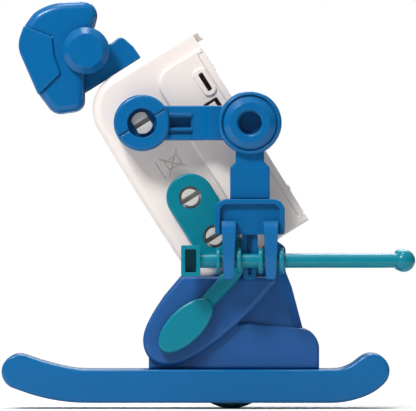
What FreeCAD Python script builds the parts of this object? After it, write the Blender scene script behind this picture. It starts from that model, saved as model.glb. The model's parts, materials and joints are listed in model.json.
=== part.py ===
import FreeCAD
import Part
import math
import os

from FreeCAD import Placement, Rotation, Vector

# Skiing robot made from a snap-together kit, in millimetres, +Z up.
# It faces -X and its left side is -Y.  The origin is on the floor, under the middle of its box.
# Side parts are drawn for the right side (+Y) and mirrored for the left.

# ---- torso: a motor and battery unit that leans forward -------------------------------------
# a runs up its long axis from the lower back corner, b runs forward from its back face.
LEAN = -32.0
TORSO_CORNER_X = 43.7
TORSO_CORNER_Z = 82.2
TORSO_LENGTH = 98.7
TORSO_DEPTH = 56.5
FRONT_BOW = 1.2
BOW_RADIUS = 1200.0
TORSO_HALF = 19.0
BAY_HALF = 21.0
BAY_DEPTH = 25.4
BAY_TOP = 89.0
WALL = 1.8
CHIN_RADIUS = 10.0
BROW_RADIUS = 17.0
PARTITION = (19.0, 20.5)
CENTRE_WEB = 0.8
DOOR_A = (3.2, 86.5)
DOOR_THICKNESS = 2.9
DOOR_PIVOT = (4.7, 1.5)
DOOR_SCREW_A = 80.0
GRIP_RIB_A = 77.4
CELL_RADIUS = 7.1
CELL_A = (8.0, 58.5)
CELL_B = 11.3
CELL_Y = 7.6
SWITCH_A = 93.25
SWITCH_SIZE = 3.5
SWITCH_REST_Y = -2.0
MARK_AB = (52.6, 36.8)
ENGRAVING = 0.35
SCREW_SPOTS = [(26.0, 29.0), (26.0, 50.0), (88.0, 29.0), (88.0, 48.0)]

# ---- drive: motor pinion, two double gears and the shoulder shaft ---------------------------
SHOULDER_AB = (74.3, 39.2)
SECOND_AB = (63.2, 34.7)
FIRST_AB = (52.1, 39.2)
MOTOR_AB = (41.0, 34.7)
MODULE = 0.6
SMALL_TEETH = 10
LARGE_TEETH = 30
PLATE_Y = (4.5, 6.0)
GEAR_LAYERS = [(6.5, 9.0), (9.5, 12.0), (12.5, 15.0)]
AXLE_RADIUS = 1.0
SHAFT_RADIUS = 4.8
SHAFT_FLAT = 3.6
SHAFT_END = 31.0
SHAFT_NECK = 2.0

# ---- arms -------------------------------------------------------------------------------------
ELBOW_X = 18.0
ARM_Z = 124.4
HUB_RADIUS = 12.3
HUB_Y = (19.3, 35.4)
HUB_BORE = 6.4
BEAM_HALF = 7.55
BEAM_Y = (26.5, 32.5)
ELBOW_PLATE_Y = (31.0, 36.0)
CAP_RADIUS = 13.8
CAP_Y = (41.7, 46.0)
CAP_BORE = 5.05
CAP_FLOOR_Y = 37.1
CAP_CHAMFER = 0.9
CAP_TUBE = 7.0
FOREARM_Y = (36.8, 41.0)
HAND_X = (2.8, 33.1)
HAND_Z = (75.9, 91.4)
HAND_Y = (36.0, 44.5)
FINGERS = [(8.8, 6.2, 4.2), (27.15, 6.4, 4.3)]
HAND_RIM = 2.2
FINGER_ROOT = 81.7
THUMB_X = (14.5, 21.4)
GRIP_BOTTOM = 56.5
POLE_Y = 43.5
POLE_Z = 64.5
POLE_RADIUS = 3.1
POLE_BALL = (84.9, 4.9)
POLE_FLANGES = [(3.4, 5.0), (12.4, 14.2), (21.6, 23.6), (30.7, 32.8)]
FLANGE_RADIUS = 5.65
FREE_GAP = 0.3

# ---- legs, skis and wheel ---------------------------------------------------------------------
HIP_PINS_AB = [(35.7, 38.6), (15.7, 38.6)]
LINK_Y = (19.2, 24.2)
LINK_RADIUS = 10.4
LINK_HOLE = 4.9
PIN_RADIUS = 3.75
ROD_Y = (28.2, 32.6)
ROD_X = 12.5
PADDLE_CENTRE = (-9.9, 36.3)
PADDLE_AXES = (15.1, 7.4)
PADDLE_Y = (29.0, 33.5)
LEG_Y = (10.7, 22.1)
LEG_WALL = 2.2
LEG_RIM_Z = 57.8
LEG_BACK = [(42.4, 30.0), (36.3, 53.0)]
BEVEL = (4.0, 2.2)
BEVEL_Z = (35.4, 61.0)
LOBE_Y = 28.0
BOOT_Y = (8.5, 24.5)
BOOT_WALL = 2.0
SKI_TOP = 17.2
SKI_BOTTOM = 2.6
SKI_Y = (6.5, 33.0)
SKI_WALL = 3.0
SKI_FLAT_X = (-52.4, 53.5)
SKI_FRONT_TIP = [(-80.2, 23.5), (-90.0, 16.2), (-84.9, 9.0)]
SKI_REAR_TIP = [(67.4, 23.1), (78.8, 16.5), (76.6, 11.1)]
SKI_PIN_X = [-14.0, 34.0]
WHEEL_X = 10.0
WHEEL_RADIUS = 19.35
WHEEL_HALF = 5.0
WHEEL_AXLE = 1.5

# ---- head -------------------------------------------------------------------------------------
EAR_X = -53.4
EAR_Z = 156.0
EAR_RADIUS = 10.2
HEAD_HALF = 19.0
HEAD_WALL = 2.0
EAR_Y = (19.0, 24.5)
VISOR_HALF = 20.4
VISOR_WALL = 1.8
NECK_HALF = 11.0
HEAD_PIN = 2.0

TORSO_PLACE = Placement(Vector(TORSO_CORNER_X, 0, TORSO_CORNER_Z), Rotation(Vector(0, 1, 0), LEAN))


# ---- drawing helpers --------------------------------------------------------------------------
def outline(corners):
    """Closed wire in the XZ plane through (x, z, radius) corners."""
    edges = []
    ends = []
    for i, (x, z, radius) in enumerate(corners):
        here = Vector(x, 0, z)
        after = corners[(i + 1) % len(corners)]
        to_before = (Vector(corners[i - 1][0], 0, corners[i - 1][1]) - here).normalize()
        to_after = (Vector(after[0], 0, after[1]) - here).normalize()
        if radius == 0:
            ends.append((here, here))
            continue
        half = to_before.getAngle(to_after) / 2
        reach = radius / math.tan(half)
        inward = (to_before + to_after).normalize()
        middle = here + inward * (radius / math.sin(half) - radius)
        ends.append((here + to_before * reach, here + to_after * reach))
        edges.append(Part.Arc(ends[-1][0], middle, ends[-1][1]).toShape())
    for i, (_, leave) in enumerate(ends):
        arrive = ends[(i + 1) % len(ends)][0]
        if leave.distanceToPoint(arrive) > 1e-6:
            edges.append(Part.LineSegment(leave, arrive).toShape())
    return Part.Wire(Part.__sortEdges__(edges))


def curve(points, start=None, end=None):
    """Smooth open edge in the XZ plane through points, with optional end directions."""
    spline = Part.BSplineCurve()
    places = [Vector(x, 0, z) for x, z in points]
    if start and end:
        first = Vector(start[0], 0, start[1])
        last = Vector(end[0], 0, end[1])
        spline.interpolate(Points=places, InitialTangent=first, FinalTangent=last)
    else:
        spline.interpolate(Points=places)
    return spline.toShape()


def slab(wire, y0, y1):
    face = Part.Face(wire)
    face.translate(Vector(0, y0, 0))
    return face.extrude(Vector(0, y1 - y0, 0))


def drum(x, z, radius, y0, y1):
    return Part.makeCylinder(radius, y1 - y0, Vector(x, y0, z), Vector(0, 1, 0))


def block(x, y, z):
    return Part.makeBox(x[1] - x[0], y[1] - y[0], z[1] - z[0], Vector(x[0], y[0], z[0]))


def turned(profile, x, z):
    """Solid turned about the Y axis through (x, z) from (radius, y) points."""
    places = [Vector(x + radius, y, z) for radius, y in profile]
    face = Part.Face(Part.makePolygon(places + places[:1]))
    return face.revolve(Vector(x, 0, z), Vector(0, 1, 0), 360)


def mirrored(shape):
    return shape.mirror(Vector(0, 0, 0), Vector(0, 1, 0))


def edges_at_y(shape, y):
    return [edge for edge in shape.Edges if all(abs(v.Y - y) < 1e-4 for v in edge.Vertexes)]


def softened(shape, radius, *planes):
    """Round the edges that lie in the given Y planes."""
    edges = [edge for y in planes for edge in edges_at_y(shape, y)]
    return shape.makeFillet(radius, edges)


def joined(first, *rest):
    return first.fuse(list(rest)).removeSplitter()


def side_pair(name, shape, nodes):
    nodes[name + "_right"] = shape
    nodes[name + "_left"] = mirrored(shape)


# ---- torso drawing helpers ----------------------------------------------------------------------
def torso_outline(corners):
    return outline([(-b, a, radius) for a, b, radius in corners])


def torso_block(a, b, y):
    return block((-b[1], -b[0]), y, a)


def torso_drum(ab, radius, y0, y1):
    return drum(-ab[1], ab[0], radius, y0, y1)


def back_drum(a, y, radius, b0, b1):
    """Cylinder along b."""
    return Part.makeCylinder(radius, b1 - b0, Vector(-b1, y, a), Vector(1, 0, 0))


def tilted(shape):
    placed = shape.copy()
    placed.Placement = TORSO_PLACE.multiply(placed.Placement)
    return placed


def torso_point(a, b):
    """World X and Z of a torso point."""
    place = TORSO_PLACE.multVec(Vector(-b, 0, a))
    return place.x, place.z


def torso_profile(gap):
    front = TORSO_DEPTH + gap
    top = TORSO_LENGTH + gap
    corners = [(-gap, -gap, 0), (-gap, front, CHIN_RADIUS + gap)]
    corners += [(TORSO_LENGTH / 2, front + FRONT_BOW, BOW_RADIUS), (top, front, BROW_RADIUS + gap)]
    corners.append((top, -gap, 0))
    return torso_outline(corners)


# ---- torso housing ------------------------------------------------------------------------------
def housing_blank():
    """Right half without its posts: side wall, battery bay, door recess and bosses."""
    front = slab(torso_profile(0), 0, TORSO_HALF)
    rim = [e for e in edges_at_y(front, TORSO_HALF) if e.CenterOfMass.x < -DOOR_THICKNESS]
    front = front.makeFillet(4.0, rim)
    bay_corners = [(0, 0, 0), (0, BAY_DEPTH, 0), (BAY_TOP, BAY_DEPTH, 9.0), (BAY_TOP, 0, 0)]
    back = softened(slab(torso_outline(bay_corners), 0, BAY_HALF), 1.2, BAY_HALF)
    shell = joined(front, back)
    inside = TORSO_DEPTH - WALL
    top = TORSO_LENGTH - WALL
    gearbox = [(WALL, PARTITION[1], 1.0), (WALL, inside, CHIN_RADIUS - WALL)]
    gearbox += [(top, inside, BROW_RADIUS - WALL), (top, PARTITION[1], 1.0)]
    shell = shell.cut(slab(torso_outline(gearbox), -1, TORSO_HALF - WALL))
    shell = shell.cut(torso_block((6.2, 60.4), (-1, PARTITION[0]), (-1, 16.5)))
    shell = shell.cut(torso_block((62.2, 86.0), (4.8, PARTITION[0]), (CENTRE_WEB, BAY_HALF - WALL)))
    shell = shell.cut(torso_block((86.0, top), (4.8, PARTITION[0]), (-1, TORSO_HALF - WALL)))
    shell = shell.cut(torso_block((88.4, top), (WALL, PARTITION[0]), (-1, TORSO_HALF - WALL)))
    shell = shell.cut(torso_block((DOOR_A[0] - 0.15, DOOR_A[1] + 0.15), (-1, 3.0), (-1, BAY_HALF + 1)))
    bosses = [torso_drum(SHOULDER_AB, 7.0, 15.4, TORSO_HALF - 1)]
    bosses += [torso_drum(ab, 5.6, 14.8, TORSO_HALF - 1) for ab in HIP_PINS_AB]
    screw_boss = back_drum(DOOR_SCREW_A, 0, 3.6, 4.0, 12.0)
    bosses.append(screw_boss.common(torso_block((70, 90), (0, 20), (0, 5))))
    shell = joined(shell, *bosses)
    shell = shell.cut(torso_drum(SHOULDER_AB, SHAFT_RADIUS + 0.05, 14, BAY_HALF))
    for ab in HIP_PINS_AB:
        shell = shell.cut(torso_drum(ab, 4.1, 15.4, BAY_HALF))
    return shell.cut(back_drum(DOOR_SCREW_A, 0, 1.6, 2.0, 11.0))


def side_details(shell):
    """Catch frame with its slot, the latch window below it, the switch slot and the neck socket."""
    catch = [(68.5, 3.6, 2.5), (68.5, 9.6, 2.5), (81.5, 9.6, 2.5), (81.5, 3.6, 2.5)]
    frame = softened(slab(torso_outline(catch), BAY_HALF - 0.6, BAY_HALF + 1.0), 0.5, BAY_HALF + 1.0)
    shell = joined(shell, frame)
    slot = [(70.6, 5.3, 0.6), (70.6, 7.4, 0.6), (79.2, 7.4, 0.6), (79.2, 5.3, 0.6)]
    shell = shell.cut(slab(torso_outline(slot), 18.0, BAY_HALF + 2))
    window = [(52.0, 5.6, 0.8), (52.0, 12.6, 0.8), (66.8, 12.6, 0.8), (66.8, 5.6, 0.8)]
    shell = shell.cut(slab(torso_outline(window), BAY_HALF - 2.5, BAY_HALF + 1))
    shell = shell.fuse(torso_block((51.0, 65.6), (7.4, 10.8), (BAY_HALF - 2.5, BAY_HALF - 0.3)))
    slot_half = SWITCH_SIZE / 2 + 0.4
    shell = shell.cut(torso_block((SWITCH_A - slot_half, SWITCH_A + slot_half), (-1, 3), (-1, 5.0)))
    neck_socket = Part.makeCylinder(4.05, 6, Vector(-36.0, 0, TORSO_LENGTH - 4), Vector(0, 0, 1))
    return shell.cut(neck_socket)


def housing_right():
    shell = side_details(housing_blank())
    for ab in SCREW_SPOTS:
        shell = shell.fuse(torso_drum(ab, 3.8, PLATE_Y[1], TORSO_HALF - 1))
        shell = shell.cut(torso_drum(ab, 1.5, PLATE_Y[1] - 1, BAY_HALF))
        shell = shell.cut(torso_drum(ab, 2.8, 15.5, BAY_HALF + 1))
    for ab in (FIRST_AB, SECOND_AB):
        shell = shell.fuse(torso_drum(ab, 2.6, 15.4, TORSO_HALF - 1))
        shell = shell.cut(torso_drum(ab, AXLE_RADIUS, 15.0, TORSO_HALF - 0.8))
    return tilted(shell)


def stroke(start, end, width):
    """Cutter for one straight engraved line between two torso points."""
    turn = math.degrees(math.atan2(end[0] - start[0], start[1] - end[1]))
    depth = (TORSO_HALF - ENGRAVING, TORSO_HALF + 1)
    bar = block((-width / 2, math.dist(start, end) + width / 2), depth, (-width / 2, width / 2))
    bar.rotate(Vector(0, 0, 0), Vector(0, 1, 0), -turn)
    bar.translate(Vector(-start[1], 0, start[0]))
    return bar


def moulded_mark():
    """Plain moulded-in mark: a crossed box over a bar, with its top to the back."""
    a, b = MARK_AB
    thin = [((a - 4.2, b - 4.3), (a + 4.2, b + 4.3)), ((a + 4.2, b - 4.3), (a - 4.2, b + 4.3))]
    thin += [((a - 2.8, b - 3.2), (a + 2.8, b - 3.2)), ((a - 1.8, b + 3.0), (a + 1.8, b + 3.0))]
    thin += [((a - 2.4, b - 3.2), (a - 1.8, b + 3.0)), ((a + 2.4, b - 3.2), (a + 1.8, b + 3.0))]
    bar = stroke((a - 3.8, b + 6.4), (a + 3.7, b + 6.4), 0.6)
    return bar.fuse([stroke(start, end, 0.35) for start, end in thin])


def housing_left():
    shell = mirrored(side_details(housing_blank()).cut(moulded_mark()))
    for ab in SCREW_SPOTS:
        shell = shell.fuse(torso_drum(ab, 3.2, 1 - TORSO_HALF, PLATE_Y[0]))
        shell = shell.cut(torso_drum(ab, 1.2, -12.0, PLATE_Y[0] + 1))
    return tilted(shell)


def housing_screws():
    screws = []
    for ab in SCREW_SPOTS:
        head = torso_drum(ab, 2.6, 15.5, 17.4)
        screw = joined(head, torso_drum(ab, 1.2, -11.0, 15.5))
        for half in ((1.7, 0.4), (0.4, 1.7)):
            a = (ab[0] - half[0], ab[0] + half[0])
            b = (ab[1] - half[1], ab[1] + half[1])
            screw = screw.cut(torso_block(a, b, (16.5, 18.0)))
        screws.append(screw)
    return tilted(Part.makeCompound(screws))


def battery_door():
    """Back cover that turns on its rounded lower edge; thumb notch and rib near the hinge."""
    a_pivot, b_pivot = DOOR_PIVOT
    reach = BAY_HALF - 0.05
    plate = torso_block((a_pivot, DOOR_A[1]), (0, DOOR_THICKNESS), (-reach, reach))
    door = joined(plate, torso_drum((a_pivot, b_pivot), 1.45, -reach, reach))
    hollow = torso_block((14.0, 76.0), (1.6, 4.0), (-15.0, 15.0))
    door = door.cut(hollow)
    notch = back_drum(9.0, 0, 6.0, -5.2, 0.9)
    door = door.cut(notch)
    rib = outline([(-0.2, 15.0, 0), (0.6, 15.8, 0.3), (0.6, 17.4, 0.3), (-0.2, 18.2, 0)])
    door = door.fuse(slab(rib, -12.0, 12.0))
    for i in range(4):
        a = GRIP_RIB_A + 2.0 * i
        for y in ((-14.0, -5.0), (5.0, 14.0)):
            door = door.fuse(torso_block((a - 0.35, a + 0.35), (-0.35, 0.5), y))
    door = door.cut(back_drum(DOOR_SCREW_A, 0, 3.0, -1.0, 1.3))
    return tilted(door.cut(back_drum(DOOR_SCREW_A, 0, 1.25, 1.0, 4.0)))


def door_screw():
    screw = joined(back_drum(DOOR_SCREW_A, 0, 2.7, 0.1, 1.3), back_drum(DOOR_SCREW_A, 0, 1.25, 1.3, 9.5))
    for half in ((1.8, 0.4), (0.4, 1.8)):
        a = (DOOR_SCREW_A - half[0], DOOR_SCREW_A + half[0])
        screw = screw.cut(torso_block(a, (0, 0.8), (-half[1], half[1])))
    return tilted(screw)


# ---- batteries and switch -------------------------------------------------------------------------
def battery_cell(y, direction):
    """AA cell along the torso, its positive end up when direction is 1."""
    low, high = CELL_A
    body_low = low + (1.5 if direction < 0 else 0)
    body = Part.makeCylinder(CELL_RADIUS, high - low - 1.5, Vector(-CELL_B, y, body_low))
    body = body.makeFillet(0.6, body.Edges)
    nub_low = high - 1.6 if direction > 0 else low
    return tilted(body.fuse(Part.makeCylinder(2.75, 1.6, Vector(-CELL_B, y, nub_low))))


def battery_contacts():
    """Two upper plates, one lower plate and coil springs under the negative ends."""
    pieces = [torso_block((6.2, 6.6), (5.0, 17.5), (-14.5, 14.5))]
    pieces += [torso_block((60.0, 60.4), (5.0, 17.5), (y - 6.5, y + 6.5)) for y in (-CELL_Y, CELL_Y)]
    for y, base, step in ((CELL_Y, 6.95, 0.35), (-CELL_Y, 59.65, -0.35)):
        rings = [Part.makeTorus(3.4 - 0.7 * i, 0.35, Vector(-CELL_B, y, base + step * i)) for i in range(3)]
        pieces.append(joined(*rings))
    return tilted(Part.makeCompound(pieces))


def power_switch():
    """Sliding knob with a finger lip, and the slider plate behind the slot."""
    half = SWITCH_SIZE / 2
    y = (SWITCH_REST_Y - 2.5, SWITCH_REST_Y + 2.5)
    knob = torso_block((SWITCH_A - half, SWITCH_A + half), (-2.1, 2.4), y)
    lip = torso_block((SWITCH_A - half, SWITCH_A - half + 0.7), (-2.8, -2.0), y)
    plate_y = (SWITCH_REST_Y - 7.0, SWITCH_REST_Y + 7.0)
    plate = torso_block((SWITCH_A - half - 1.2, SWITCH_A + half + 1.2), (2.1, 3.2), plate_y)
    return tilted(joined(knob, lip, plate))


def switch_body():
    """Fixed switch case behind the slider, under the top wall."""
    return tilted(torso_block((88.6, TORSO_LENGTH - WALL), (3.5, 9.0), (-9.0, 9.0)))


# ---- gear train -------------------------------------------------------------------------------------
def gear(ab, teeth, phase, layer):
    """Spur gear with straight-sided teeth; phase is the direction of one tooth in the XZ plane."""
    pitch = teeth * MODULE / 2
    tip = pitch + 0.55
    root = pitch - 0.75
    spots = []
    for i in range(teeth):
        middle = phase + 2 * math.pi * i / teeth
        for radius, half_width in ((root, 0.55), (tip, 0.17)):
            spots.append((radius, middle - half_width / radius))
        for radius, half_width in ((tip, 0.17), (root, 0.55)):
            spots.append((radius, middle + half_width / radius))
    places = [Vector(-ab[1] + r * math.cos(t), layer[0], ab[0] + r * math.sin(t)) for r, t in spots]
    face = Part.Face(Part.makePolygon(places + places[:1]))
    return face.extrude(Vector(0, layer[1] - layer[0], 0))


def direction(start, end):
    """Angle in the XZ plane from one torso point to another."""
    return math.atan2(end[0] - start[0], start[1] - end[1])


def meshed(start, end):
    """Phase of the small gear at start whose gap faces the tooth of the gear at end."""
    return direction(start, end) + math.pi / SMALL_TEETH


def double_gear(ab, large_phase, small_phase, large_layer, small_layer, spacer):
    wheel = gear(ab, LARGE_TEETH, large_phase, large_layer)
    pinion = gear(ab, SMALL_TEETH, small_phase, small_layer)
    core = torso_drum(ab, 1.9, *spacer)
    return tilted(joined(wheel, pinion, core).cut(torso_drum(ab, AXLE_RADIUS + 0.06, 0, TORSO_HALF)))


def first_gear():
    phases = (direction(FIRST_AB, MOTOR_AB), meshed(FIRST_AB, SECOND_AB))
    return double_gear(FIRST_AB, *phases, GEAR_LAYERS[0], GEAR_LAYERS[1], (6.2, 15.2))


def second_gear():
    phases = (direction(SECOND_AB, FIRST_AB), meshed(SECOND_AB, SHOULDER_AB))
    return double_gear(SECOND_AB, *phases, GEAR_LAYERS[1], GEAR_LAYERS[2], (6.2, 15.2))


def gear_axles():
    axles = [torso_drum(ab, AXLE_RADIUS, PLATE_Y[0], TORSO_HALF - 0.8) for ab in (FIRST_AB, SECOND_AB)]
    return tilted(Part.makeCompound(axles))


def gear_plate():
    """Bearing plate clamped between the housing posts; its notch lets the shaft in from the front."""
    corners = [(22.2, 25.2, 3.8), (22.2, 53.8, 3.8), (91.8, 53.8, 12.0), (91.8, 25.2, 3.8)]
    plate = slab(torso_outline(corners), *PLATE_Y)
    holes = [(ab, 1.5) for ab in SCREW_SPOTS] + [(FIRST_AB, AXLE_RADIUS), (SECOND_AB, AXLE_RADIUS)]
    holes += [(MOTOR_AB, 3.0), (SHOULDER_AB, SHAFT_NECK + 0.6)]
    for ab, radius in holes:
        plate = plate.cut(torso_drum(ab, radius, 0, 10))
    a, b = SHOULDER_AB
    half = SHAFT_NECK + 0.6
    return tilted(plate.cut(torso_block((a - half, a + half), (b, 60), (0, 10))))


def output_shaft():
    """Shoulder shaft: split ends with two flats, a thin middle and the last gear."""
    a, b = SHOULDER_AB
    neck = torso_drum(SHOULDER_AB, SHAFT_NECK, -15.0, 15.0)
    wheel = gear(SHOULDER_AB, LARGE_TEETH, direction(SHOULDER_AB, SECOND_AB), GEAR_LAYERS[2])
    end = torso_drum(SHOULDER_AB, SHAFT_RADIUS, 15.0, SHAFT_END)
    for b0 in (b + SHAFT_FLAT, b - SHAFT_FLAT - 5):
        end = end.cut(torso_block((a - 6, a + 6), (b0, b0 + 5), (TORSO_HALF + 0.2, SHAFT_END + 1)))
    end = end.cut(torso_block((a - 1, a + 1), (b - 6, b + 6), (27.0, SHAFT_END + 1)))
    return tilted(joined(neck, wheel, end, mirrored(end)))


def motor_can():
    a, b = MOTOR_AB
    can = torso_drum(MOTOR_AB, 10.0, -14.6, PLATE_Y[0])
    can = can.common(torso_block((a - 11, a + 11), (b - 7.5, b + 7.5), (-20, 20)))
    can = can.fuse(torso_drum(MOTOR_AB, 3.0, PLATE_Y[0], PLATE_Y[1]))
    core = torso_drum(MOTOR_AB, 9.2, -13.4, 3.7)
    core = core.common(torso_block((a - 11, a + 11), (b - 6.7, b + 6.7), (-20, 20)))
    return tilted(can.cut(core).cut(torso_drum(MOTOR_AB, AXLE_RADIUS + 0.06, -14.0, 10)))


def motor_rotor():
    """Motor shaft with a three-pole armature."""
    a, b = MOTOR_AB
    armature = torso_drum(MOTOR_AB, 6.0, -10.0, 0.0)
    for i in range(3):
        slot = block((2.2, 7.0), (-11, 1), (-0.7, 0.7))
        slot.rotate(Vector(0, 0, 0), Vector(0, 1, 0), 120 * i)
        slot.translate(Vector(-b, 0, a))
        armature = armature.cut(slot)
    return tilted(joined(torso_drum(MOTOR_AB, AXLE_RADIUS, -13.9, GEAR_LAYERS[0][1]), armature))


def motor_pinion():
    pinion = gear(MOTOR_AB, SMALL_TEETH, meshed(MOTOR_AB, FIRST_AB), GEAR_LAYERS[0])
    return tilted(pinion.cut(torso_drum(MOTOR_AB, AXLE_RADIUS, 0, 20)))


# ---- arms ---------------------------------------------------------------------------------------------
def upper_arm():
    """Crank with a deep hub on the shoulder shaft and a joggled beam to the elbow."""
    shoulder_x, shoulder_z = torso_point(*SHOULDER_AB)
    hub = softened(drum(shoulder_x, shoulder_z, HUB_RADIUS, *HUB_Y), 1.6, HUB_Y[1])
    plan = [(shoulder_x, BEAM_Y[0]), (-3.5, BEAM_Y[0]), (1.0, ELBOW_PLATE_Y[0]), (ELBOW_X, ELBOW_PLATE_Y[0])]
    plan += [(ELBOW_X, ELBOW_PLATE_Y[1]), (0.2, ELBOW_PLATE_Y[1]), (-2.4, BEAM_Y[1]), (shoulder_x, BEAM_Y[1])]
    places = [Vector(x, y, ARM_Z - BEAM_HALF) for x, y in plan]
    beam = Part.Face(Part.makePolygon(places + places[:1])).extrude(Vector(0, 0, 2 * BEAM_HALF))
    beam = beam.makeFillet(0.8, [e for e in beam.Edges if abs(e.CenterOfMass.z - ARM_Z) > BEAM_HALF - 0.1])
    elbow = drum(ELBOW_X, ARM_Z, CAP_RADIUS - 0.8, *ELBOW_PLATE_Y)
    arm = joined(hub, beam, elbow)
    arm = beam_window(arm)
    arm = arm.cut(drum(shoulder_x, shoulder_z, HUB_BORE, 29.0, 40.0))
    shaft_hole = drum(-SHOULDER_AB[1], SHOULDER_AB[0], SHAFT_RADIUS + 0.04, 19.0, 30.0)
    flat = SHAFT_FLAT + 0.04
    b = SHOULDER_AB[1]
    arm = arm.cut(tilted(shaft_hole.common(torso_block((60, 90), (b - flat, b + flat), (19, 30)))))
    for angle in (30, 210):
        groove = block((HUB_BORE - 1, HUB_RADIUS - 0.8), (HUB_Y[1] - 0.6, 40), (-0.6, 0.6))
        groove.rotate(Vector(0, 0, 0), Vector(0, 1, 0), -angle)
        groove.translate(Vector(shoulder_x, 0, shoulder_z))
        arm = arm.cut(groove)
    return arm.cut(drum(ELBOW_X, ARM_Z, CAP_TUBE, 30.0, 40.0))


def beam_window(arm):
    """Stepped recess in the beam: two ribs along it, and a deep pocket between them."""
    x = (-17.3, -6.9)
    arm = arm.cut(block(x, (BEAM_Y[1] - 1.2, 36), (ARM_Z - 5.2, ARM_Z + 3.2)))
    arm = arm.cut(block((x[0] + 0.8, x[1] - 0.8), (BEAM_Y[0] + 1.2, 36), (ARM_Z - 2.0, ARM_Z + 2.4)))
    for z in (3.1, -3.3):
        arm = arm.fuse(block(x, (BEAM_Y[1] - 1.3, BEAM_Y[1] + 0.5), (ARM_Z + z, ARM_Z + z + 1.1)))
    return arm.removeSplitter()


def elbow_cap():
    """Turned cap: round rim, groove, raised cone with a blind bore, and the hollow pivot tube."""
    back, face = CAP_Y
    inner_end = ELBOW_PLATE_Y[0]
    profile = [(CAP_BORE, inner_end), (CAP_TUBE, inner_end), (CAP_TUBE, back), (CAP_RADIUS, back)]
    profile.append((CAP_RADIUS, back + 1.6))
    profile += [(13.45, back + 2.4), (12.75, back + 2.9), (12.2, back + 2.9), (12.2, back + 1.7)]
    profile += [(11.5, back + 1.7), (11.5, back + 2.5), (8.7, face), (CAP_BORE + CAP_CHAMFER, face)]
    profile += [(CAP_BORE, face - CAP_CHAMFER), (CAP_BORE, CAP_FLOOR_Y), (0, CAP_FLOOR_Y)]
    profile += [(0, CAP_FLOOR_Y - 1.5), (CAP_BORE, CAP_FLOOR_Y - 1.5)]
    return turned(profile, ELBOW_X, ARM_Z)


def forearm():
    """Ring on the elbow tube, a neck, square shoulders and a tongue into the hand."""
    ring = drum(ELBOW_X, ARM_Z, 12.4, 36.3, 41.4)
    half = [(6.2, ARM_Z, 0), (6.2, 107.5, 0.8), (8.6, 105.2, 1.2), (8.6, HAND_Z[1], 0)]
    corners = [(ELBOW_X - x, z, radius) for x, z, radius in half]
    corners += [(ELBOW_X + x, z, radius) for x, z, radius in reversed(half)]
    plate = slab(outline(corners), *FOREARM_Y)
    plate = softened(plate, 0.7, FOREARM_Y[1])
    tongue = block((12.0, 24.0), (37.6, 40.2), (80.0, HAND_Z[1] + 1))
    return joined(ring, plate, tongue).cut(drum(ELBOW_X, ARM_Z, CAP_TUBE + 0.08, 30, 42))


def hand():
    """Bracket with a raised rim, two fingers outside the pole and a split thumb behind it."""
    radius = 5.2
    corners = [(HAND_X[0], HAND_Z[0], 1.0), (HAND_X[0], HAND_Z[1], radius)]
    corners += [(HAND_X[1], HAND_Z[1], radius), (HAND_X[1], HAND_Z[0], 1.0)]
    bracket = softened(slab(outline(corners), *HAND_Y), 0.6, HAND_Y[1])
    left = HAND_X[0] + HAND_RIM
    right = HAND_X[1] - HAND_RIM
    low = HAND_Z[0]
    top = HAND_Z[1] - HAND_RIM
    inner = radius - HAND_RIM
    panel = [(left, low - 1, 0), (left, top, inner), (right, top, inner), (right, low - 1, 0)]
    floor = HAND_Y[1] - 2.5
    bracket = bracket.cut(slab(outline(panel), floor, HAND_Y[1] + 1))
    bracket = bracket.cut(block((12.0, 24.0), (37.6, 40.2), (80.0, HAND_Z[1] + 1)))
    for outer, near in ((left - 0.5, 12.6), (right + 0.5, 22.6)):
        pad = outline([(outer, low, 0), (outer, FINGER_ROOT, 0), (near, FINGER_ROOT, 3.0), (near, low, 0)])
        bracket = bracket.fuse(slab(pad, floor - 0.5, floor + 1.3))
    return joined(bracket, thumb(), *[finger(*sizes) for sizes in FINGERS])


def finger(middle, top_width, bottom_width):
    """Curved finger that hangs outside the pole."""
    inner = POLE_Y + POLE_RADIUS + FREE_GAP
    profile = [(HAND_Y[1] - 3.0, 75.9), (HAND_Y[1] - 3.0, FINGER_ROOT), (46.6, FINGER_ROOT), (49.2, 79.6)]
    profile.append((50.0, 76.6))
    profile += [(49.6, 66.0), (48.8, GRIP_BOTTOM), (inner, GRIP_BOTTOM), (inner, 72.5), (46.0, 75.9)]
    places = [Vector(middle - top_width, y, z) for y, z in profile]
    side = Part.Face(Part.makePolygon(places + places[:1])).extrude(Vector(2 * top_width, 0, 0))
    top = top_width / 2
    bottom = bottom_width / 2
    front = [(middle - bottom, GRIP_BOTTOM, 0.5), (middle - top, 80.0, 1.0), (middle - top, FINGER_ROOT, 0)]
    front += [(middle + top, FINGER_ROOT, 0), (middle + top, 80.0, 1.0), (middle + bottom, GRIP_BOTTOM, 0.5)]
    return side.common(slab(outline(front), 40, 52))


def thumb():
    """Leaf behind the pole with a stepped groove down its face."""
    outer = POLE_Y - POLE_RADIUS - FREE_GAP
    left, right = THUMB_X
    top = HAND_Z[0] + 1
    corners = [(left + 0.9, GRIP_BOTTOM, 0.5), (left, POLE_Z, 3.0), (left, top, 0)]
    corners += [(right, top, 0), (right, POLE_Z, 3.0), (right - 0.9, GRIP_BOTTOM, 0.5)]
    leaf = slab(outline(corners), HAND_Y[0] + 1.0, outer)
    groove_y = (HAND_Y[0] + 1.8, outer + 1)
    middle = (left + right) / 2
    leaf = leaf.cut(block((middle - 1.15, middle + 1.15), groove_y, (POLE_Z, HAND_Z[0] + 0.5)))
    return leaf.cut(block((middle - 0.6, middle + 0.6), groove_y, (GRIP_BOTTOM + 1.9, POLE_Z)))


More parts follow.
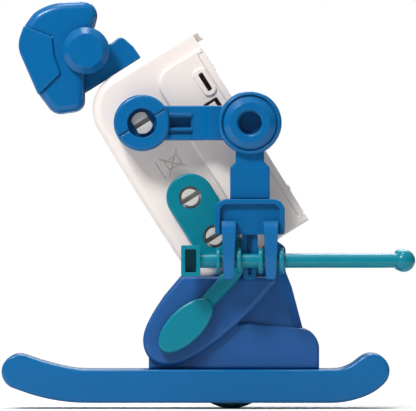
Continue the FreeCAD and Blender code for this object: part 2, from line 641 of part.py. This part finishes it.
def ski_pole():
    """Round rod with a ball end, four collars and a block with a blind socket."""
    ball_x, ball_radius = POLE_BALL
    rod = Part.makeCylinder(POLE_RADIUS, ball_x + 4.0, Vector(-4.0, POLE_Y, POLE_Z), Vector(1, 0, 0))
    ball = Part.makeSphere(ball_radius, Vector(ball_x, POLE_Y, POLE_Z))
    ball = ball.cut(block((ball_x - 6, ball_x - 3.0), (POLE_Y - 6, POLE_Y + 6), (POLE_Z - 6, POLE_Z + 6)))
    collars = []
    for x0, x1 in POLE_FLANGES:
        collar = Part.makeCylinder(FLANGE_RADIUS, x1 - x0, Vector(x0, POLE_Y, POLE_Z), Vector(1, 0, 0))
        collars.append(collar.makeFillet(0.4, collar.Edges))
    corners = [(-11.9, 57.75, 0.8), (-11.9, 71.25, 0.8), (-3.5, 71.25, 0.8), (-3.5, 57.75, 0.8)]
    socket = slab(outline(corners), POLE_Y - 4.6, POLE_Y + 4.6)
    pocket = [(-10.1, 59.5, 0.5), (-10.1, 69.5, 0.5), (-5.3, 69.5, 0.5), (-5.3, 59.5, 0.5)]
    socket = socket.cut(slab(outline(pocket), POLE_Y - 3.4, POLE_Y + 6))
    return joined(rod, ball, socket, *collars)


# ---- hips and legs --------------------------------------------------------------------------------------
def hip_link():
    """Two-hole plate on the torso, a bridge outward, and a bent rod down to the oval paddle."""
    upper, lower = HIP_PINS_AB
    reach = LINK_RADIUS
    spots = [(upper[0] + reach, upper[1] - reach), (upper[0] + reach, upper[1] + reach)]
    spots += [(lower[0] - reach, lower[1] + reach), (lower[0] - reach, lower[1] - reach)]
    corners = [(a, b, reach - 0.01) for a, b in spots]
    plate = softened(slab(torso_outline(corners), *LINK_Y), 0.9, LINK_Y[1])
    for ab in HIP_PINS_AB:
        plate = plate.cut(torso_drum(ab, LINK_HOLE, 10, 30))
    pin_x = torso_point(*HIP_PINS_AB[1])[0]
    bridge_z = 69.5
    edge_x = ROD_X + 3.3
    corners = [(pin_x + 3.5, 78.0, 1.0), (edge_x, 73.5, 3.0), (edge_x, 66.2, 1.0), (pin_x + 6.0, 68.0, 0)]
    arm = slab(outline(corners), LINK_Y[0] + 0.2, LINK_Y[1])
    post = block((ROD_X - 3.3, ROD_X + 3.3), (LINK_Y[0] + 0.4, ROD_Y[1]), (66.3, bridge_z + 3.2))
    link = joined(tilted(plate), arm, post, link_rod(bridge_z), paddle())
    return link.cut(tilted(torso_drum(HIP_PINS_AB[1], LINK_HOLE, 10, 30)))


def link_rod(top_z):
    """Flat rod that drops, bends and runs down to the paddle."""
    end_x, end_z = PADDLE_CENTRE
    slope = math.radians(47.5)
    bend_z = end_z + (ROD_X - end_x) * math.tan(slope)
    middle_y = sum(ROD_Y) / 2
    radius = 9.0
    turn = math.pi / 2 - slope
    reach = radius * math.tan(turn / 2)
    start = Vector(ROD_X, middle_y, top_z)
    arc_start = Vector(ROD_X, middle_y, bend_z + reach)
    sag = radius * (1 - math.cos(turn / 2))
    arc_middle = Vector(ROD_X - sag, middle_y, bend_z + reach - radius * math.sin(turn / 2))
    arc_end = Vector(ROD_X - reach * math.cos(slope), middle_y, bend_z - reach * math.sin(slope))
    end = Vector(end_x, middle_y, end_z)
    path = [Part.LineSegment(start, arc_start).toShape(), Part.Arc(arc_start, arc_middle, arc_end).toShape()]
    path.append(Part.LineSegment(arc_end, end).toShape())
    half_width = 3.3
    half_depth = (ROD_Y[1] - ROD_Y[0]) / 2
    spots = [(-half_width, -half_depth), (-half_width, 0.6), (-half_width + 1.6, half_depth)]
    spots += [(half_width - 1.6, half_depth), (half_width, 0.6), (half_width, -half_depth)]
    places = [start + Vector(x, y, 0) for x, y in spots]
    section = Part.makePolygon(places + places[:1])
    return Part.Wire(path).makePipeShell([section], True, False)


def paddle():
    """Oval pad on a stud, its long axis 45 degrees up to the back."""
    x, z = PADDLE_CENTRE
    oval = Part.Ellipse(Vector(0, 0, 0), *PADDLE_AXES).toShape()
    pad = Part.Face(Part.Wire([oval])).extrude(Vector(0, 0, PADDLE_Y[1] - PADDLE_Y[0]))
    pad = pad.makeFillet(1.2, [edge for edge in pad.Edges if edge.CenterOfMass.z > 4])
    pad.rotate(Vector(0, 0, 0), Vector(1, 0, 0), -90)
    pad.rotate(Vector(0, 0, 0), Vector(0, 1, 0), -45)
    pad.translate(Vector(x, PADDLE_Y[0], z))
    return pad.fuse(drum(x, z, 3.5, 24.9, PADDLE_Y[0] + 1))


def hip_pins():
    pins = []
    for ab in HIP_PINS_AB:
        a, b = ab
        collar = torso_drum(ab, LINK_HOLE - 0.05, LINK_Y[0], 21.5)
        pin = joined(torso_drum(ab, 4.1, 15.4, 20.0), collar, torso_drum(ab, PIN_RADIUS, 20.0, 24.5))
        pins.append(pin.cut(torso_block((a - 1, a + 1), (b - 6, b + 6), (20.5, 26))))
    return tilted(Part.makeCompound(pins))


def leg_outline():
    """Leg seen from the side; its lower end stands in the boot."""
    corners = [(-12.0, LEG_RIM_Z, 1.5), (5.2, LEG_RIM_Z, 0), (29.6, 73.2, 1.0), (33.6, 70.4, 3.0)]
    low, high = LEG_BACK
    corners += [(33.5, 60.1, 6.0), (*high, 10.0), (*low, 0), (39.0, 26.0, 0), (-13.0, 26.0, 3.0)]
    corners += [(-17.5, 33.0, 4.0), (-17.0, 45.0, 8.0)]
    return outline(corners)


def leg_section():
    """Leg outline without the torso corner that sits in it."""
    section = slab(leg_outline(), 0, 1).cut(tilted(slab(torso_profile(0.3), -1, 2)))
    faces = [face for face in section.Faces if abs(face.CenterOfMass.y) < 1e-4]
    return max(faces, key=lambda face: face.Area)


def extruded(face, y0, y1):
    base = face.copy()
    base.translate(Vector(0, y0, 0))
    return base.extrude(Vector(0, y1 - y0, 0))


def lobe():
    """Rounded calf and knee that hangs outside the boot."""
    points = [(-19.3, 49.2), (-26.2, 38.0), (-28.4, 28.2), (-25.0, 21.3), (-16.6, 18.5), (-6.1, 22.3)]
    points += [(7.1, 31.8), (21.7, 45.9), (29.6, 55.4)]
    ends = [points[-1], (27.5, LEG_RIM_Z), (-12.0, LEG_RIM_Z), points[0]]
    places = [Vector(x, 0, z) for x, z in ends]
    rim = [Part.LineSegment(places[i], places[i + 1]).toShape() for i in range(3)]
    body = slab(Part.Wire([curve(points)] + rim), LEG_Y[1] - 0.5, LOBE_Y)
    body = softened(body, 2.2, LOBE_Y)
    boot_gap = slab(boot_outline(0.2), 0, BOOT_Y[1] + 0.2)
    x, z = PADDLE_CENTRE
    return body.cut(boot_gap).cut(drum(x, z, 3.55, 24.8, 40))


def back_bevel():
    """Cutter for the broad bevel down the outer back edge of the leg."""
    low, high = (Vector(x, 0, z) for x, z in LEG_BACK)
    along = (high - low).normalize()
    outward = Vector(along.z, 0, -along.x)
    start = low + along * ((BEVEL_Z[0] - low.z) / along.z)
    width, depth = BEVEL
    spots = [(-1.5 * width, depth / 2), (width / 2, -1.5 * depth), (width / 2, depth / 2)]
    places = [start + outward * reach + Vector(0, LEG_Y[1] + rise, 0) for reach, rise in spots]
    wedge = Part.Face(Part.makePolygon(places + places[:1]))
    return wedge.extrude(along * ((BEVEL_Z[1] - BEVEL_Z[0]) / along.z))


def leg_shell():
    section = leg_section()
    core = section.makeOffset2D(-LEG_WALL)
    full = slab(leg_outline(), TORSO_HALF + 0.3, LEG_Y[1])
    full = full.cut(tilted(torso_block((-5, 60), (-5, BAY_DEPTH + 0.3), (0, BAY_HALF + 0.3))))
    body = joined(extruded(section, LEG_Y[0], TORSO_HALF + 0.4), full)
    body = body.cut(extruded(core, LEG_Y[0] - 1, 19.9)).cut(back_bevel())
    return joined(body, lobe())


def leg_cover():
    cover = extruded(leg_section(), BOOT_Y[0] + 0.1, LEG_Y[0])
    return cover.common(block((-60, 60), (0, 20), (38.2, 90)))


def boot_outline(gap):
    corners = [(-26 - gap, SKI_TOP - gap, 0), (-26 - gap, 26, 5), (-12, 35.5 + gap, 8), (17, 37.6 + gap, 10)]
    corners += [(48.2 + gap, 34.3 + gap, 9), (48.2 + gap, SKI_TOP - gap, 0)]
    return outline(corners)


def boot():
    """Hollow boot that the leg stands in, with a block for the wheel axle."""
    body = softened(slab(boot_outline(0), *BOOT_Y), 1.4, *BOOT_Y)
    inside = (BOOT_Y[0] + BOOT_WALL, BOOT_Y[1] - BOOT_WALL)
    body = body.cut(slab(boot_outline(-BOOT_WALL), *inside))
    leg_hole = extruded(Part.Face(leg_outline()).makeOffset2D(0.25), LEG_Y[0] - 0.2, LEG_Y[1] + 0.2)
    body = body.cut(leg_hole)
    axle_block = block((WHEEL_X - 5, WHEEL_X + 5), inside, (SKI_TOP + 1, 26.0))
    body = joined(body, axle_block)
    body = body.cut(drum(WHEEL_X, WHEEL_RADIUS, WHEEL_AXLE + 0.06, 0, 23.7))
    for x in SKI_PIN_X:
        body = body.cut(Part.makeCylinder(3.0, 6.0, Vector(x, sum(BOOT_Y) / 2, SKI_TOP - 1)))
    return body


# ---- skis and wheel ---------------------------------------------------------------------------------------
def ski_line(z):
    """Flat middle of the ski at height z."""
    return Part.LineSegment(Vector(SKI_FLAT_X[0], 0, z), Vector(SKI_FLAT_X[1], 0, z)).toShape()


def ski_top_curves(drop):
    """Upper line of the ski, lowered by drop: front rise, flat, rear rise."""
    front = [SKI_FRONT_TIP[0], (-75.1, 21.7), (-65.5, 19.0), (SKI_FLAT_X[0], SKI_TOP)]
    rear = [(SKI_FLAT_X[1], SKI_TOP), (59.4, 18.1), (63.0, 19.9), SKI_REAR_TIP[0]]
    front_rise = curve([(x, z - drop) for x, z in front], (9, -3), (9, 0))
    rear_rise = curve([(x, z - drop) for x, z in rear], (6, 0), (4, 2.4))
    return [front_rise, ski_line(SKI_TOP - drop), rear_rise]


def ski_profile():
    front_low = [SKI_FRONT_TIP[2], (-76.8, 6.2), (-66.0, 3.7), (SKI_FLAT_X[0], SKI_BOTTOM)]
    rear_low = [(SKI_FLAT_X[1], SKI_BOTTOM), (64.0, 4.1), (69.1, 5.9), (73.8, 8.6), SKI_REAR_TIP[2]]
    tips = [Part.Arc(*[Vector(x, 0, z) for x, z in tip]).toShape() for tip in (SKI_FRONT_TIP, SKI_REAR_TIP)]
    lower = [curve(front_low, (6, -2.1), (9, 0)), ski_line(SKI_BOTTOM), curve(rear_low, (9, 0), (5, 5))]
    return Part.Wire(Part.__sortEdges__(ski_top_curves(0) + tips + lower))


def ski():
    """Flat ski with turned-up tips, hollow below, with cross ribs."""
    body = slab(ski_profile(), *SKI_Y)
    body = softened(body, 1.5, *SKI_Y)
    (front, front_top), (rear, rear_top) = SKI_FRONT_TIP[0], SKI_REAR_TIP[0]
    corners = [(front, front_top - SKI_WALL), (front, 0), (rear, 0), (rear, rear_top - SKI_WALL)]
    ends = [Vector(x, 0, z) for x, z in corners]
    sides = [Part.LineSegment(ends[i], ends[i + 1]).toShape() for i in range(3)]
    inside = Part.Wire(Part.__sortEdges__(ski_top_curves(SKI_WALL) + sides))
    body = body.cut(slab(inside, SKI_Y[0] + SKI_WALL, SKI_Y[1] - SKI_WALL))
    for x in range(-60, 61, 15):
        body = body.fuse(block((x - 1, x + 1), (SKI_Y[0] + 1, SKI_Y[1] - 1), (6.0, SKI_TOP - 1)))
    middle = (SKI_Y[0] + SKI_Y[1]) / 2
    body = body.fuse(block((-70, 62), (middle - 1, middle + 1), (6.0, SKI_TOP - 1))).removeSplitter()
    for x in SKI_PIN_X:
        body = body.cut(Part.makeCylinder(3.0, 30, Vector(x, sum(BOOT_Y) / 2, -1)))
        body = body.cut(Part.makeCylinder(4.2, 15, Vector(x, sum(BOOT_Y) / 2, SKI_TOP - SKI_WALL - 15)))
    return body


def ski_pins():
    """Split pins that hold the boot on the ski from below."""
    pins = []
    y = sum(BOOT_Y) / 2
    for x in SKI_PIN_X:
        shank = Part.makeCylinder(3.0, 7.4, Vector(x, y, SKI_TOP - SKI_WALL - 2))
        head = Part.makeCylinder(4.1, 2.0, Vector(x, y, SKI_TOP - SKI_WALL - 2))
        pins.append(joined(shank, head).cut(block((x - 0.8, x + 0.8), (y - 6, y + 6), (SKI_TOP - 1, 25))))
    return Part.makeCompound(pins)


def wheel():
    """Broad wheel between the skis, with a webbed hub."""
    rim = drum(WHEEL_X, WHEEL_RADIUS, WHEEL_RADIUS, -WHEEL_HALF, WHEEL_HALF)
    rim = softened(rim, 1.2, -WHEEL_HALF, WHEEL_HALF)
    for y0, y1 in ((-WHEEL_HALF - 1, -1.5), (1.5, WHEEL_HALF + 1)):
        rim = rim.cut(drum(WHEEL_X, WHEEL_RADIUS, WHEEL_RADIUS - 3.5, y0, y1))
    for i in range(6):
        angle = math.radians(60 * i)
        rim = rim.cut(drum(WHEEL_X + 9.8 * math.cos(angle), WHEEL_RADIUS + 9.8 * math.sin(angle), 3.2, -6, 6))
    hub = drum(WHEEL_X, WHEEL_RADIUS, 4.0, 0.3 - SKI_Y[0], SKI_Y[0] - 0.3)
    spacer = drum(WHEEL_X, WHEEL_RADIUS, 2.1, 0.2 - BOOT_Y[0], BOOT_Y[0] - 0.2)
    return joined(rim, hub, spacer).cut(drum(WHEEL_X, WHEEL_RADIUS, WHEEL_AXLE + 0.06, -20, 20))


def wheel_axle():
    return drum(WHEEL_X, WHEEL_RADIUS, WHEEL_AXLE, -23.5, 23.5)


# ---- head -----------------------------------------------------------------------------------------------
def head_outline(gap):
    """Head seen from the side, drawn in by gap."""
    corners = [(-82.2, 158.0, 9.0), (-80.2, 166.8, 6.0), (-76.0, 172.6, 10.0), (-68.5, 176.8, 25.0)]
    corners += [(-46.7, 177.9, 6.0), (-50.0, 165.6, 4.0), (-51.5, 158.0, 4.0), (-54.0, 148.0, 4.0)]
    corners += [(-54.0, 129.9, 5.0), (-67.3, 127.9, 6.0), (-73.6, 136.4, 4.0)]
    wire = outline(corners)
    return wire.makeOffset2D(-gap) if gap else wire


def visor_outline(gap):
    corners = [(-83.6, 158.0, 12.0), (-80.4, 167.0, 0.8), (-68.0, 162.1, 2.0), (-67.2, 154.0, 10.0)]
    corners += [(-64.4, 146.0, 0.8), (-74.1, 136.4, 0.8)]
    wire = outline(corners)
    return wire.makeOffset2D(gap) if gap else wire


def head_shell():
    """Right half of the head, open behind the visor and around the neck."""
    body = softened(slab(head_outline(0), 0, HEAD_HALF), 3.5, HEAD_HALF)
    body = body.cut(slab(head_outline(HEAD_WALL), -1, HEAD_HALF - HEAD_WALL))
    body = body.cut(slab(visor_outline(0.12), -1, 25))
    body = body.cut(block((-62.0, -40.0), (-1, NECK_HALF + 0.4), (134.0, 168.0)))
    return body.cut(drum(EAR_X, EAR_Z, HEAD_PIN, -1, 25))


def face_visor():
    """Face panel that wraps the front of the head, with two recessed eye rings."""
    shape = slab(visor_outline(0), -VISOR_HALF, VISOR_HALF)
    shape = softened(shape, 1.0, -VISOR_HALF, VISOR_HALF)
    inner = slab(visor_outline(0), -HEAD_HALF + 0.3, HEAD_HALF - 0.3)
    inner.translate(Vector(VISOR_WALL, 0, 0))
    reach = inner.fuse(block((-72.0, -60.0), (-HEAD_HALF + 0.3, HEAD_HALF - 0.3), (130, 170)))
    panel = shape.cut(reach)
    for y in (-8.5, 8.5):
        ring = Part.makeCylinder(5.6, 2.6, Vector(-84.0, y, 157.5), Vector(1, 0, 0))
        button = Part.makeCylinder(3.8, 2.6, Vector(-84.0, y, 157.5), Vector(1, 0, 0))
        panel = panel.cut(ring.cut(button))
    return panel


def ear_disc():
    profile = [(HEAD_PIN, EAR_Y[0]), (EAR_RADIUS, EAR_Y[0]), (EAR_RADIUS, 21.7), (7.4, EAR_Y[1])]
    profile += [(0, EAR_Y[1]), (0, 23.0), (HEAD_PIN, 23.0)]
    return turned(profile, EAR_X, EAR_Z)


def head_pin():
    return drum(EAR_X, EAR_Z, HEAD_PIN, -23.0, 23.0)


def neck_bracket():
    """Bracket on top of the torso that carries the head pin; its peg goes into the housing."""
    low = torso_point(TORSO_LENGTH, 53.8)
    high = torso_point(TORSO_LENGTH, 24.5)
    corners = [(low[0], low[1], 0.5), (high[0], high[1], 0.8), (-32.8, 157.8, 1.5), (-38.2, 162.6, 2.6)]
    corners += [(-43.2, 158.4, 3.0), (-48.0, 161.0, 0.5), (-58.5, 152.0, 0.5)]
    arm = softened(slab(outline(corners), -NECK_HALF, NECK_HALF), 0.8, -NECK_HALF, NECK_HALF)
    eye = drum(EAR_X, EAR_Z, 6.4, -NECK_HALF, NECK_HALF)
    peg = tilted(Part.makeCylinder(4.0, 4.5, Vector(-36.0, 0, TORSO_LENGTH - 4)))
    return joined(arm, eye, peg).cut(drum(EAR_X, EAR_Z, HEAD_PIN + 0.06, -20, 20))


# ---- assembly ---------------------------------------------------------------------------------------------
def build():
    nodes = {
        "motor_housing_left": housing_left(),
        "motor_housing_right": housing_right(),
        "housing_screws": housing_screws(),
        "battery_door": battery_door(),
        "door_screw": door_screw(),
        "battery_cell_left": battery_cell(-CELL_Y, -1),
        "battery_cell_right": battery_cell(CELL_Y, 1),
        "battery_contacts": battery_contacts(),
        "power_switch": power_switch(),
        "switch_body": switch_body(),
        "motor_can": motor_can(),
        "motor_rotor": motor_rotor(),
        "motor_pinion": motor_pinion(),
        "gear_plate": gear_plate(),
        "gear_axles": gear_axles(),
        "first_gear": first_gear(),
        "second_gear": second_gear(),
        "output_shaft": output_shaft(),
        "neck_bracket": neck_bracket(),
        "head_pin": head_pin(),
        "head_shell_right": head_shell(),
        "head_shell_left": mirrored(head_shell()),
        "face_visor": face_visor(),
        "wheel": wheel(),
        "wheel_axle": wheel_axle(),
    }
    side_pair("ear_disc", ear_disc(), nodes)
    side_pair("upper_arm", upper_arm(), nodes)
    side_pair("elbow_cap", elbow_cap(), nodes)
    side_pair("forearm", forearm(), nodes)
    side_pair("hand", hand(), nodes)
    side_pair("ski_pole", ski_pole(), nodes)
    side_pair("hip_link", hip_link(), nodes)
    side_pair("hip_pins", hip_pins(), nodes)
    side_pair("leg_shell", leg_shell(), nodes)
    side_pair("leg_cover", leg_cover(), nodes)
    side_pair("boot", boot(), nodes)
    side_pair("ski", ski(), nodes)
    side_pair("ski_pins", ski_pins(), nodes)
    return nodes


os.makedirs("parts", exist_ok=True)
for node, shape in build().items():
    shape.exportStep("parts/" + node + ".step")
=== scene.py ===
import json
import math

import bpy
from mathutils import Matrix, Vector


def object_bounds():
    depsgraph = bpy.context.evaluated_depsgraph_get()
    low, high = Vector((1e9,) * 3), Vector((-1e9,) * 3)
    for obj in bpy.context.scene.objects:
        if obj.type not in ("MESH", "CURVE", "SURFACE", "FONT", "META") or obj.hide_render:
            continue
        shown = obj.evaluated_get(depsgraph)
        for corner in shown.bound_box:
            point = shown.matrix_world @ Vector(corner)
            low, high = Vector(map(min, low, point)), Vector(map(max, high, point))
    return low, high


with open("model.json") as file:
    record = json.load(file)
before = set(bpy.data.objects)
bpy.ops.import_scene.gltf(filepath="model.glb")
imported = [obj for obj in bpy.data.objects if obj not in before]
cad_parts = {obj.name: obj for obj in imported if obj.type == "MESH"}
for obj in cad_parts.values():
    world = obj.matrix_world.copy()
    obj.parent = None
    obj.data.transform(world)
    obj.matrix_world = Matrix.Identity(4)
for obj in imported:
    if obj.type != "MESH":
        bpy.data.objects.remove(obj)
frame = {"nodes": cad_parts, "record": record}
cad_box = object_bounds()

# Looks of the skiing toy robot.  Metres, in the CAD frame: it faces -X, its left side is -Y.
MM = 0.001
NODES = frame["nodes"]

# ---- colours, linear RGB ----------------------------------------------------------------------
BLUE = (0.0006, 0.103, 0.285)
# Darker copy of BLUE for the legs and boots: painted shade.
BLUE_PAINTED_SHADE = (0.0130, 0.082, 0.260)
TEAL = (0.0002, 0.172, 0.240)
WHITE = (0.730, 0.662, 0.625)
PIN_GREY = (0.52, 0.50, 0.48)
KNOB_BEIGE = (0.50, 0.44, 0.38)
NYLON = (0.76, 0.73, 0.64)
STEEL = (0.48, 0.49, 0.51)
BRASS = (0.62, 0.42, 0.16)
NICKEL = (0.66, 0.65, 0.62)
CELL_GREY = (0.16, 0.17, 0.19)

# ---- surface detail: noise scales per metre, heights and edge radii in metres -------------------
DRIFT_SCALE = 34.0
RIPPLE_SCALE = 70.0
SCUFF_SCALE = 420.0
GRAIN_SCALE = 1300.0
BLOTCH_SCALE = 160.0
SCRATCH_SCALE = 2000.0
RIPPLE_HEIGHT = 0.00002
GRAIN_HEIGHT = 0.000005
SCRATCH_HEIGHT = 0.00001
PLASTIC_EDGE = 0.45 * MM
METAL_EDGE = 0.2 * MM
SMOOTH_ANGLE = math.radians(32)

# ---- studio -------------------------------------------------------------------------------------
SKY_LOW = 0.08
SKY_HIGH = 0.70
FLOOR_TONES = (0.74, 0.77)
ROBOT_CENTRE = (0.0, 0.0, 0.09)
FLOOR_BEHIND = (0.0, 0.30, 0.0)
# name, place, target, diameter, watts
LIGHTS = [
    ("key", (-0.45, -0.75, 0.85), ROBOT_CENTRE, 0.30, 12.0),
    ("top", (-0.10, -0.10, 1.15), ROBOT_CENTRE, 0.35, 4.5),
    ("back", (0.10, 0.75, 0.80), FLOOR_BEHIND, 0.60, 7.0),
]
VIEW_WIDTH = 180.87 * MM
VIEW_CENTRE = Vector((-0.0002, -0.035, 0.0885))
LENS = 1500.0
SENSOR = 36.0
CLIP_END = 20.0
FLOOR_RADIUS = 0.9


# ---- material building blocks -------------------------------------------------------------------
def new_material(name):
    material = bpy.data.materials.new(name)
    material.use_nodes = True
    tree = material.node_tree
    shader = next(n for n in tree.nodes if n.type == "BSDF_PRINCIPLED")
    return material, tree, shader


def noise(tree, scale, detail, seed):
    """Noise in object space; seed shifts it so that no two materials share a pattern."""
    place = tree.nodes.new("ShaderNodeTexCoord")
    shift = tree.nodes.new("ShaderNodeMapping")
    shift.inputs["Location"].default_value = (seed, seed * 0.7, seed * 0.3)
    tree.links.new(place.outputs["Object"], shift.inputs["Vector"])
    texture = tree.nodes.new("ShaderNodeTexNoise")
    texture.inputs["Scale"].default_value = scale
    texture.inputs["Detail"].default_value = detail
    tree.links.new(shift.outputs["Vector"], texture.inputs["Vector"])
    return texture.outputs["Fac"]


def ramp(tree, source, stops):
    node = tree.nodes.new("ShaderNodeValToRGB")
    elements = node.color_ramp.elements
    for element, (position, colour) in zip(elements, stops):
        element.position = position
        element.color = (*colour, 1)
    tree.links.new(source, node.inputs["Fac"])
    return node.outputs["Color"]


def scaled(colour, factor):
    return tuple(min(1.0, c * factor) for c in colour)


def spread(tree, source, low, high):
    """Remap a noise output to the range low to high."""
    node = tree.nodes.new("ShaderNodeMapRange")
    node.inputs["From Min"].default_value = 0.3
    node.inputs["From Max"].default_value = 0.7
    node.inputs["To Min"].default_value = low
    node.inputs["To Max"].default_value = high
    tree.links.new(source, node.inputs["Value"])
    return node.outputs["Result"]


def eased_edges(tree, radius):
    """Normals that round every sharp edge by radius."""
    node = tree.nodes.new("ShaderNodeBevel")
    node.samples = 6
    node.inputs["Radius"].default_value = radius
    return node.outputs["Normal"]


def bumped(tree, shader, heights, normal=None):
    """Chain of bump nodes from (height output, distance in metres, strength)."""
    for height, distance, strength in heights:
        node = tree.nodes.new("ShaderNodeBump")
        node.inputs["Distance"].default_value = distance
        node.inputs["Strength"].default_value = strength
        tree.links.new(height, node.inputs["Height"])
        if normal:
            tree.links.new(normal, node.inputs["Normal"])
        normal = node.outputs["Normal"]
    tree.links.new(normal, shader.inputs["Normal"])


def moulded_plastic(name, colour, seed, gloss=(0.20, 0.27), specular=0.26, tint=0.02):
    """Injection-moulded plastic: slow tint drift, faint flow ripples, fine texture and scuffs."""
    material, tree, shader = new_material(name)
    drift = noise(tree, DRIFT_SCALE, 2.0, seed)
    ripple = noise(tree, RIPPLE_SCALE, 2.0, seed + 7)
    scuff = noise(tree, SCUFF_SCALE, 4.0, seed + 11)
    grain = noise(tree, GRAIN_SCALE, 2.0, seed + 3)
    stops = [(0.3, scaled(colour, 1 - tint)), (0.7, scaled(colour, 1 + tint))]
    tree.links.new(ramp(tree, drift, stops), shader.inputs["Base Color"])
    tree.links.new(spread(tree, scuff, *gloss), shader.inputs["Roughness"])
    shader.inputs["Specular IOR Level"].default_value = specular
    heights = [(ripple, RIPPLE_HEIGHT, 0.4), (grain, GRAIN_HEIGHT, 0.5)]
    bumped(tree, shader, heights, eased_edges(tree, PLASTIC_EDGE))
    return material


def metal(name, colour, seed, rough):
    """Plated or turned metal: blotchy finish with fine scratches."""
    material, tree, shader = new_material(name)
    blotch = noise(tree, BLOTCH_SCALE, 4.0, seed)
    scratch = noise(tree, SCRATCH_SCALE, 2.0, seed + 5)
    stops = [(0.3, scaled(colour, 0.85)), (0.7, scaled(colour, 1.1))]
    tree.links.new(ramp(tree, blotch, stops), shader.inputs["Base Color"])
    tree.links.new(spread(tree, blotch, rough - 0.06, rough + 0.08), shader.inputs["Roughness"])
    shader.inputs["Metallic"].default_value = 1.0
    bumped(tree, shader, [(scratch, SCRATCH_HEIGHT, 0.5)], eased_edges(tree, METAL_EDGE))
    return material


# ---- the robot ------------------------------------------------------------------------------------
def dress():
    """Give every CAD node its material and smooth its shading."""
    blue = moulded_plastic("blue_abs", BLUE, 1.0)
    blue_painted_shade = moulded_plastic("blue_abs_painted_shade", BLUE_PAINTED_SHADE, 2.0)
    teal = moulded_plastic("teal_abs", TEAL, 3.0)
    by_slot = {
        "white_plastic": moulded_plastic("white_abs", WHITE, 4.0, gloss=(0.34, 0.44), tint=0.012),
        "blue_plastic": blue,
        "teal_plastic": teal,
        "pin_plastic": moulded_plastic("grey_acetal", PIN_GREY, 5.0, gloss=(0.30, 0.40)),
        "switch_plastic": moulded_plastic("beige_knob", KNOB_BEIGE, 6.0, gloss=(0.40, 0.50)),
        "gear_plastic": moulded_plastic("gear_nylon", NYLON, 7.0, gloss=(0.42, 0.52), tint=0.03),
        "cell_wrap": moulded_plastic("cell_wrap", CELL_GREY, 8.0),
        "steel": metal("zinc_steel", STEEL, 9.0, 0.32),
        "brass": metal("turned_brass", BRASS, 10.0, 0.28),
        "contact_metal": metal("nickel_strip", NICKEL, 11.0, 0.24),
    }
    slots = {part["node"]: part["material_slot"] for part in frame["record"]["subparts"]}
    for name, node in NODES.items():
        material = by_slot[slots[name]]
        # The legs and boots are the same blue plastic; they take the darker copy as painted shade.
        if name.startswith(("leg_shell", "leg_cover", "boot")):
            material = blue_painted_shade
        node.data.materials.clear()
        node.data.materials.append(material)
        smooth_edges(node)


def smooth_edges(node):
    """Smooth shading across rounded edges, sharp across real corners."""
    node.data.shade_smooth()
    node.data.set_sharp_from_angle(angle=SMOOTH_ANGLE)


# ---- stage --------------------------------------------------------------------------------------
def make_floor():
    bpy.ops.mesh.primitive_circle_add(vertices=96, radius=FLOOR_RADIUS, fill_type="NGON",
                                      location=(0, 0, cad_box[0].z))
    floor = bpy.context.object
    floor.name = "studio_floor"
    material, tree, shader = new_material("pale_paper")
    shade = noise(tree, 30.0, 3.0, 20.0)
    stops = [(0.3, (FLOOR_TONES[0],) * 3), (0.7, (FLOOR_TONES[1],) * 3)]
    tree.links.new(ramp(tree, shade, stops), shader.inputs["Base Color"])
    shader.inputs["Roughness"].default_value = 0.9
    floor.data.materials.append(material)


def area_light(name, place, target, size, power):
    data = bpy.data.lights.new(name, "AREA")
    data.shape = "DISK"
    data.size = size
    data.energy = power
    light = bpy.data.objects.new(name, data)
    light.location = place
    light.rotation_mode = "QUATERNION"
    light.rotation_quaternion = (Vector(place) - Vector(target)).to_track_quat("Z", "Y")
    bpy.context.scene.collection.objects.link(light)


def make_world():
    """White surround behind the object; as a light it is bright above and dim at the horizon."""
    world = bpy.data.worlds.new("studio")
    world.use_nodes = True
    tree = world.node_tree
    tree.nodes.clear()
    direction = tree.nodes.new("ShaderNodeTexCoord")
    split = tree.nodes.new("ShaderNodeSeparateXYZ")
    tree.links.new(direction.outputs["Generated"], split.inputs["Vector"])
    glow = tree.nodes.new("ShaderNodeMapRange")
    glow.inputs["To Min"].default_value = SKY_LOW
    glow.inputs["To Max"].default_value = SKY_HIGH
    tree.links.new(split.outputs["Z"], glow.inputs["Value"])
    seen = tree.nodes.new("ShaderNodeLightPath")
    strength = tree.nodes.new("ShaderNodeMapRange")
    strength.inputs["To Max"].default_value = 1.0
    tree.links.new(glow.outputs["Result"], strength.inputs["To Min"])
    background = tree.nodes.new("ShaderNodeBackground")
    background.inputs["Color"].default_value = (1.0, 1.0, 1.0, 1)
    output = tree.nodes.new("ShaderNodeOutputWorld")
    tree.links.new(seen.outputs["Is Camera Ray"], strength.inputs["Value"])
    tree.links.new(strength.outputs["Result"], background.inputs["Strength"])
    tree.links.new(background.outputs["Background"], output.inputs["Surface"])
    bpy.context.scene.world = world


def make_lights():
    for light in LIGHTS:
        area_light(*light)


def make_camera():
    """Long lens straight from the robot's left side."""
    data = bpy.data.cameras.new("camera")
    data.sensor_width = SENSOR
    data.lens = LENS
    data.clip_end = CLIP_END
    camera = bpy.data.objects.new("camera", data)
    distance = VIEW_WIDTH * LENS / SENSOR
    camera.location = VIEW_CENTRE - Vector((0, distance, 0))
    camera.rotation_euler = (math.pi / 2, 0, 0)
    bpy.context.scene.collection.objects.link(camera)
    bpy.context.scene.camera = camera


make_camera()
dress()
make_floor()
make_world()
make_lights()
bpy.context.scene.view_settings.view_transform = "Standard"
